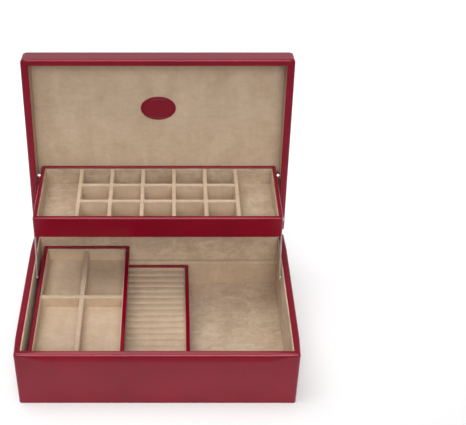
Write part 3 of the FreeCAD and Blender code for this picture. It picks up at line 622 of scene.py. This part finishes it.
def soft_panel(bm, place, width, height, thickness, edge=SUEDE_EDGE, slack=SUEDE_SLACK):
    """A suede panel, drawn flat from its corner: its edges curl away and its face is never quite even."""
    rows = []
    for v in edge_places(height, edge, SUEDE_CELL):
        row = []
        for u in edge_places(width, edge, SUEDE_CELL):
            across, along = min(u, width - u), min(v, height - v)
            drop = min(rolled_drop(edge, across) + rolled_drop(edge, along), edge)
            spot = place @ Vector((u, v, 0))
            wave = 0.5 + 0.5 * noise.noise(spot * 34) + 0.25 * noise.noise(spot * 90)
            loose = ease(min(across, along) / (5 * edge))
            row.append(bm.verts.new(place @ Vector((u, v, thickness - drop - slack * wave * loose))))
        rows.append(row)
    for row, after in zip(rows, rows[1:]):
        for index in range(len(row) - 1):
            bm.faces.new((row[index], row[index + 1], after[index + 1], after[index]))
    border = rows[0] + [row[-1] for row in rows[1:-1]]
    border += rows[-1][::-1] + [row[0] for row in rows[-2:0:-1]]
    back = place.inverted()
    under = []
    for vertex in border:
        flat = back @ vertex.co
        under.append(bm.verts.new(place @ Vector((flat.x, flat.y, 0))))
    for index, vertex in enumerate(border):
        beside = (index + 1) % len(border)
        bm.faces.new((vertex, under[index], under[beside], border[beside]))
    bm.faces.new(under[::-1])


def panel_place(corner, along, up):
    """A panel's frame from its corner and the directions of its width and height."""
    along, up = Vector(along), Vector(up)
    turn = Matrix((along, up, along.cross(up))).transposed().to_4x4()
    return Matrix.Translation(corner) @ turn


def wall_panels(bm, low, high, thickness, edge=SUEDE_EDGE):
    """Four panels that line the walls of a box, each looking inwards."""
    width, depth, height = high - low
    inner = depth - 2 * (thickness - 0.3 * edge)
    start = low.y + thickness - 0.3 * edge
    end = high.y - thickness + 0.3 * edge
    walls = (
        ((low.x, high.y, low.z), (1, 0, 0), width),
        ((high.x, low.y, low.z), (-1, 0, 0), width),
        ((low.x, start, low.z), (0, 1, 0), inner),
        ((high.x, end, low.z), (0, -1, 0), inner),
    )
    for corner, along, length in walls:
        soft_panel(bm, panel_place(corner, along, (0, 0, 1)), length, height, thickness, edge)


def make_tub_lining(name, body, node, floor, thickness, under_rim, edge, look):
    """Suede on the floor and the four walls of a box, each its own panel."""
    low, high = span(node)
    bm = bmesh.new()
    flat = panel_place(low, (1, 0, 0), (0, 1, 0))
    soft_panel(bm, flat, high.x - low.x, high.y - low.y, floor, edge=0.4 * MM, slack=0.1 * MM)
    wall_panels(bm, low + Vector((0, 0, 0.6 * floor)), high - Vector((0, 0, under_rim)), thickness, edge)
    piece(name, bm, body, "suede", node, look=look)


def make_lid_lining():
    """The big suede panel inside the lid, and the suede strips round its walls, painted darker as shade."""
    low, high = lid_span("lid_wall_lining")
    bm = bmesh.new()
    wall_panels(bm, low, high + Vector((0, 0, 0.4 * MM)), LINING)
    bm.transform(OPEN_LID)
    # the wall strips take the suede painted darker as shade
    piece("lid_wall_suede", bm, "lid", "suede", "lid_wall_lining", look="painted_shade_suede")

    low, high = lid_span("lid_lining_panel")
    gap = LINING - 0.3 * MM
    bm = bmesh.new()
    place = panel_place((high.x - gap, low.y + gap, high.z), (-1, 0, 0), (0, 1, 0))
    width, depth, thickness = high.x - low.x - 2 * gap, high.y - low.y - 2 * gap, high.z - low.z
    soft_panel(bm, place, width, depth, thickness, edge=0.6 * MM)
    bm.transform(OPEN_LID)
    piece("lid_panel_suede", bm, "lid", "suede", "lid_lining_panel")


def make_patch():
    """The bare oval leather patch, with a pressed line round its border."""
    low, high = lid_span("lid_oval_patch")
    centre = (low + high) / 2
    half = (high - low) / 2
    thick = high.z - low.z
    rounded_edge = ((0.6 * MM, 0.0), (0.0, 0.5), (0.15 * MM, 0.8), (0.5 * MM, 0.96), (1.1 * MM, 1.0))
    pressed_line = (
        (2.3 * MM, 0.97), (2.55 * MM, 0.72), (2.85 * MM, 0.66), (3.15 * MM, 0.72), (3.4 * MM, 0.97),
        (4.6 * MM, 1.0),
    )
    loops = []
    for inset, rise in rounded_edge + pressed_line:
        loops.append(oval(centre, half.x - inset, half.y - inset, high.z - thick * rise))
    for share in (0.55, 0.25):
        loops.append(oval(centre, half.x * share, half.y * share, high.z - thick))
    bm = bmesh.new()
    bridge(bm, loops)
    bm.transform(OPEN_LID)
    piece("lid_patch", bm, "lid", "red_leather", "lid_oval_patch")


def oval(centre, half_x, half_y, height, steps=64):
    """A level oval of points."""
    turns = [2 * math.pi * step / steps for step in range(steps)]
    return [
        Vector((centre.x + half_x * math.cos(turn), centre.y + half_y * math.sin(turn), height))
        for turn in turns
    ]


def bar_section(half, bottom, top, round_top):
    """The end view of a padded bar: flat below, its top edges rounded, as places across and up."""
    edge = [(half - round_top * (1 - across), top - round_top * (1 - up)) for up, across in arc_shares(5)]
    return [(-half, bottom), (half, bottom)] + edge + [(-aside, up) for aside, up in reversed(edge)]


def add_bar(bm, low, high, axis, round_top, slack=0.12 * MM):
    """A suede-covered bar along X or Y, whose cover is a little uneven."""
    across = 1 - axis
    half = (high[across] - low[across]) / 2
    middle = (high[across] + low[across]) / 2
    count = max(3, round((high[axis] - low[axis]) / (5 * MM)))
    loops = []
    for step in range(count + 1):
        along = low[axis] + (high[axis] - low[axis]) * step / count
        loop = []
        for aside, up in bar_section(half, low.z, high.z, round_top):
            point = Vector((0, 0, up))
            point[axis] = along
            point[across] = middle + aside
            lift = ease((up - low.z) / (high.z - low.z))
            point[across] += slack * noise.noise(point * 55) * lift
            point.z -= slack * (0.5 + 0.5 * noise.noise(point * 70)) * lift
            loop.append(point)
        loops.append(loop)
    bridge(bm, loops)


def make_dividers():
    """The padded dividers of the lifting tray and of the insert."""
    round_top = 1.3 * MM
    for node in sorted(frame["nodes"]):
        if "divider" not in node:
            continue
        low, high = span(node)
        axis = 0 if high.x - low.x > high.y - low.y else 1
        body = node.split("_")[0]
        low[1 - axis] -= PADDING[body]
        high[1 - axis] += PADDING[body]
        bm = bmesh.new()
        add_bar(bm, low, high, axis, round_top)
        piece(node.replace("divider", "wall"), bm, body, "suede", node)


def make_ledges():
    """The two padded ledges that carry the insert, each let into the lining of its wall."""
    for side in ("front", "back"):
        low, high = span(f"{side}_ledge")
        if side == "front":
            low.y -= LINING
        else:
            high.y += LINING
        bm = bmesh.new()
        add_bar(bm, low, high, 0, min(2.4 * MM, 0.45 * (high.y - low.y)))
        piece(f"{side}_rest", bm, "base", "suede", f"{side}_ledge")


def make_rolls():
    """The row of firm suede-covered foam rolls that grip rings between them."""
    low, high = span("ring_rolls")
    ends = span("ring_tray_lining")
    end_round, drawn_in, pressed = 2.4 * MM, 0.9 * MM, 0.2 * MM
    low.x = ends[0].x + THIN_SUEDE - pressed
    high.x = ends[1].x - THIN_SUEDE + pressed
    pitch = (high.y - low.y + ROLL_SLIT) / ROLLS
    half = (pitch - ROLL_SLIT) / 2
    length = high.x - low.x
    rounded = [end_round * share for share in (0.0, 0.12, 0.35, 0.65, 1.0)]
    even = [end_round + (length - 2 * end_round) * step / 16 for step in range(1, 16)]
    stations = rounded + even + [length - place for place in reversed(rounded)]
    bm = bmesh.new()
    for number in range(ROLLS):
        middle = low.y + half + pitch * number
        loops = []
        for place in stations:
            away = min(place, length - place)
            pinch = 1 - min(away / end_round, 1.0)
            shrink = drawn_in * (1 - math.sqrt(1 - pinch ** 2))
            loops.append(roll_loop(low, high, middle, half, low.x + place, shrink))
        bridge(bm, loops)
    rolls = piece("ring_roll_row", bm, "ring_tray", "suede", "ring_rolls")


def roll_loop(low, high, middle, half, x, shrink):
    """One cross-section of a roll: upright sides and a full, soft crown."""
    crown, sag, sway = 2.8 * MM, 0.3 * MM, 0.12 * MM
    sunk = sag * (0.5 + 0.5 * noise.noise(Vector((x * 40, middle * 300, 0))))
    points = [(-half, low.z), (half, low.z)]
    for step in range(13):
        turn = math.pi * step / 12
        across = math.copysign(abs(math.cos(turn)) ** 0.62, math.cos(turn)) * half
        points.append((across, high.z - crown + crown * math.sin(turn) ** 0.8))
    loop = []
    for across, up in points:
        point = Vector((x, middle + across * (1 - shrink / half), up))
        lift = ease((up - low.z) / (high.z - low.z))
        point.z -= lift * (shrink + sunk)
        point.y += lift * sway * noise.noise(Vector((x * 60, middle * 500, across * 100)))
        loop.append(point)
    return loop


def circle(x, radius, steps=36):
    """A circle of points round the X axis."""
    turns = [2 * math.pi * step / steps for step in range(steps)]
    return [Vector((x, radius * math.cos(turn), radius * math.sin(turn))) for turn in turns]


def turned(profile):
    """A turned part along X, from its places along the axis and radii there."""
    bm = bmesh.new()
    bridge(bm, [circle(x, radius) for x, radius in profile])
    bmesh.ops.recalc_face_normals(bm, faces=bm.faces)
    return bm


def cut_slot(bm, end, width, depth):
    """Press a screwdriver slot into the end of a turned part that looks along +X."""
    for side in (-1, 1):
        everything = bm.verts[:] + bm.edges[:] + bm.faces[:]
        bmesh.ops.bisect_plane(bm, geom=everything, plane_co=(0, 0, side * width / 2), plane_no=(0, 0, 1))
    bm.normal_update()
    strip = [
        face for face in bm.faces
        if face.normal.x > 0.4 and face.calc_center_median().x > end - depth
        and abs(face.calc_center_median().z) < width / 2
    ]
    grown = bmesh.ops.extrude_face_region(bm, geom=strip)["geom"]
    moved = [item for item in grown if isinstance(item, bmesh.types.BMVert)]
    bmesh.ops.translate(bm, verts=moved, vec=(-depth, 0, 0))
    bmesh.ops.delete(bm, geom=strip, context="FACES")
    bmesh.ops.recalc_face_normals(bm, faces=bm.faces)


def add_copy(bm, part, place):
    """Add a copy of a part to a mesh at a place."""
    mesh = bpy.data.meshes.new("copy")
    part.to_mesh(mesh)
    mesh.transform(place)
    bm.from_mesh(mesh)
    bpy.data.meshes.remove(mesh)


def domed_head(radius, height):
    """Places and radii of a low domed screw head that starts at 0 and ends along +X."""
    edge, bevel, tip = 0.25 * height, 0.08 * MM, 0.25 * MM
    rows = [(0, radius - bevel), (bevel, radius), (edge, radius)]
    for up, across in arc_shares(5)[1:]:
        rows.append((edge + (height - edge) * up, max(radius * across, tip)))
    return rows


def add_pair(name, body, node, part, turn_left):
    """A fitting that was drawn on the right, and its twin on the left, where their node is."""
    low, high = span(node)
    place = Matrix.Translation((0, (low.y + high.y) / 2, (low.z + high.z) / 2))
    bm = bmesh.new()
    add_copy(bm, part, place @ Matrix.Rotation(0.5, 4, "X"))
    add_copy(bm, part, place @ Matrix.Rotation(math.pi, 4, "Z") @ Matrix.Rotation(turn_left, 4, "X"))
    part.free()
    piece(name, bm, body, "chrome", node, sharp=FITTING_SHARP)


def make_fittings():
    """Shoulder screws of the arms and the turned posts that carry the tray."""
    arm_low, arm_high = span("arm_right")
    near, far = arm_low.x - PLAY, arm_high.x + PLAY
    wall = span("base_lining")[1].x - WALL_SUEDE
    side = span("tray_leather_wrap")[1].x
    dome = domed_head(HEAD, HEAD_HEIGHT)

    shoulder = wall + 0.2 * MM
    tip = span("arm_pivot_screws")[1].x
    profile = [(near - tip, SHANK), (near - shoulder, SHANK), (near - shoulder, HEAD), (near - far, HEAD)]
    profile += [(near - far, SHANK), (0, SHANK)] + dome
    part = turned(profile)
    cut_slot(part, HEAD_HEIGHT, SLOT_WIDTH, SLOT_DEPTH)
    part.transform(Matrix.Translation((near, 0, 0)) @ Matrix.Rotation(math.pi, 4, "Z"))
    add_pair("arm_base_screws", "base", "arm_pivot_screws", part, -0.4)

    root = side - 3 * MM
    profile = [(root, SHANK), (side, SHANK), (side, HEAD), (near, HEAD), (near, SHANK), (far, SHANK)]
    profile += [(far + place, radius) for place, radius in dome]
    part = turned(profile)
    cut_slot(part, far + HEAD_HEIGHT, SLOT_WIDTH, SLOT_DEPTH)
    add_pair("arm_tray_screws", "tray", "tray_arm_screws", part, 0.9)

    start, end = side + 0.5 * MM, wall + 0.3 * MM
    bevel, groove = 0.3 * MM, 0.2 * MM
    groove_start, groove_end = end - 0.8 * MM, end - 0.6 * MM
    profile = [(root, SHANK), (start, SHANK), (start, POST - bevel), (start + bevel, POST)]
    profile += [(groove_start, POST), (groove_start, POST - groove), (groove_end, POST - groove)]
    profile += [(groove_end, POST), (end, POST), (end, SHANK), (span("tray_pivot_posts")[1].x, SHANK)]
    add_pair("tray_posts", "lid", "tray_pivot_posts", turned(profile), 0.0)


def make_hinge_screws():
    """Small slotted screws that hold the hinge leaves to the rims."""
    middle = span("hinge_base_leaves")[1].x - LEAF_HALF
    hinge = joint_place("lid_hinge")[0]
    head, head_height = 1.35 * MM, 0.16 * MM
    shank, shank_length = 0.8 * MM, 0.6 * MM
    slot_width, slot_depth = 0.35 * MM, 0.12 * MM
    part = turned([(-shank_length, shank)] + domed_head(head, head_height))
    cut_slot(part, head_height, slot_width, slot_depth)
    base, lid = bmesh.new(), bmesh.new()
    stand = Matrix.Rotation(-QUARTER, 4, "Y")
    hang = Matrix.Rotation(QUARTER, 4, "Y")
    for side in (-1, 1):
        for number, along in enumerate((-SCREW_PITCH, 0, SCREW_PITCH)):
            spin = Matrix.Rotation(0.7 + 1.9 * number, 4, "X")
            x = side * middle + along
            on_base = Matrix.Translation((x, hinge.y - SCREW_REACH, hinge.z - LEAF_FACE))
            add_copy(base, part, on_base @ stand @ spin)
            on_lid = OPEN_LID @ Matrix.Translation((x, -SCREW_REACH, LEAF_FACE))
            add_copy(lid, part, on_lid @ hang @ spin)
    part.free()
    piece("hinge_base_screws", base, "base", "steel", sharp=FITTING_SHARP)
    piece("hinge_lid_screws", lid, "lid", "steel", sharp=FITTING_SHARP)


def add_camera():
    """The camera, in front of the case and above it."""
    width, height = IMAGE_SIZE
    data = bpy.data.cameras.new("camera")
    data.sensor_fit = "HORIZONTAL"
    data.sensor_width = SENSOR
    data.lens = FOCAL_PIXELS / width * SENSOR
    data.shift_x = (width / 2 - AXIS_PIXEL[0]) / width
    data.shift_y = (AXIS_PIXEL[1] - height / 2) / width
    camera = bpy.data.objects.new("camera", data)
    camera.location = CAMERA_PLACE
    camera.rotation_euler = (math.radians(90 - CAMERA_PITCH), 0, 0)
    bpy.context.scene.collection.objects.link(camera)
    bpy.context.scene.camera = camera


def add_area(name, place, target, size, power, spread):
    """A soft rectangular lamp, whose beam spreads by an angle in degrees."""
    data = bpy.data.lights.new(name, "AREA")
    data.shape = "RECTANGLE"
    data.size, data.size_y = size
    data.energy = power
    data.spread = math.radians(spread)
    lamp = bpy.data.objects.new(name, data)
    lamp.location = place
    lamp.rotation_euler = (Vector(target) - Vector(place)).to_track_quat("-Z", "Y").to_euler()
    bpy.context.scene.collection.objects.link(lamp)


def add_room():
    """A plain soft room and two soft lamps."""
    scene = bpy.context.scene
    scene.view_settings.view_transform = "Standard"
    world = bpy.data.worlds.new("studio")
    world.use_nodes = True
    nodes, links = world.node_tree.nodes, world.node_tree.links
    room = nodes["Background"]
    direction = nodes.new("ShaderNodeTexCoord").outputs["Generated"]
    split = nodes.new("ShaderNodeSeparateXYZ")
    links.new(direction, split.inputs["Vector"])
    glow = nodes.new("ShaderNodeMath")
    for socket, (axis, start, end, dim, bright) in zip(glow.inputs, ROOM_GLOW):
        rise = nodes.new("ShaderNodeMapRange")
        links.new(split.outputs[axis], rise.inputs["Value"])
        for name, value in (("From Min", start), ("From Max", end), ("To Min", dim), ("To Max", bright)):
            rise.inputs[name].default_value = value
        links.new(rise.outputs["Result"], socket)
    room.inputs["Color"].default_value = (1, 1, 1, 1)
    links.new(glow.outputs["Value"], room.inputs["Strength"])
    scene.world = world
    add_area("key_light", (-0.35, -0.02, 1.42), (0, 0.02, 0.05), (1.1, 1.4), 3.05, 80)
    add_area("front_light", (0.1, -1.55, 1.25), (0, 0.03, 0.12), (1.5, 1.2), 3.2, 50)


def add_floor():
    """A pale floor, painted darker in front of the case as the shade of floor beyond the lamps, and lifted towards
    white behind it by a glow.
    """
    look = Look("floor_white")
    deep, pale = (0.44, 0.44, 0.44, 1), (0.88, 0.88, 0.88, 1)
    haze = look.noise(0.4, 3.0)
    split = look.add("ShaderNodeSeparateXYZ", {"Vector": look.place})
    # painted shade: the floor grows darker in front of the case, standing in for unlit floor, so that the leather
    # reflects it dark
    depth = look.scale(split.outputs["Y"], -0.27, -0.15, 0.0, 0.96)
    shade = look.ramp(look.mix((depth, 1.0), (haze, 0.04)), (0.0, deep), (1.0, pale))
    look.finish(Base_Color=shade, Roughness=1.0, Specular_IOR_Level=0.0)
    rays = look.add("ShaderNodeLightPath").outputs
    seen = look.math("MAXIMUM", rays["Is Camera Ray"], rays["Is Glossy Ray"])
    seen = look.math("MAXIMUM", seen, rays["Is Transmission Ray"])
    # a glow that camera, glossy and transmission rays see lifts the floor towards white, little in front of the
    # case and most behind it
    lift = look.scale(split.outputs["Y"], -0.2, 1.0, 0.08, 0.7)
    look.finish(Emission_Color=(1.0, 1.0, 1.0, 1.0), Emission_Strength=look.math("MULTIPLY", seen, lift))

    bm = bmesh.new()
    bmesh.ops.create_grid(bm, x_segments=8, y_segments=8, size=6)
    mesh = bpy.data.meshes.new("floor")
    bm.to_mesh(mesh)
    bm.free()
    mesh.materials.append(look.material)
    floor = bpy.data.objects.new("floor", mesh)
    bpy.context.scene.collection.objects.link(floor)


for row in frame["record"]["subparts"]:
    node = frame["nodes"][row["node"]]
    node.data.materials.clear()
    node.data.materials.append(looks[row["material_slot"]])

add_camera()
add_room()
add_floor()
make_base_leather()
make_front_board()
make_lid_leather()
# the lifting tray's suede is mottled and painted darker as shade
for tray, nap in (("tray", "mottled_shaded_suede"), ("insert", "suede"), ("ring_tray", "suede")):
    make_tray_leather(tray)
    make_tub_lining(
        f"{tray}_suede", tray, f"{tray}_lining", THIN_LINING, THIN_SUEDE, TRAY_EDGE - 0.2 * MM,
        SUEDE_EDGE, nap,
    )
make_tub_lining("base_suede", "base", "base_lining", LINING, WALL_SUEDE, 0.0, 1.3 * MM, "brushed_suede")
make_lid_lining()
make_patch()
make_dividers()
make_ledges()
make_rolls()
make_fittings()
make_hinge_screws()
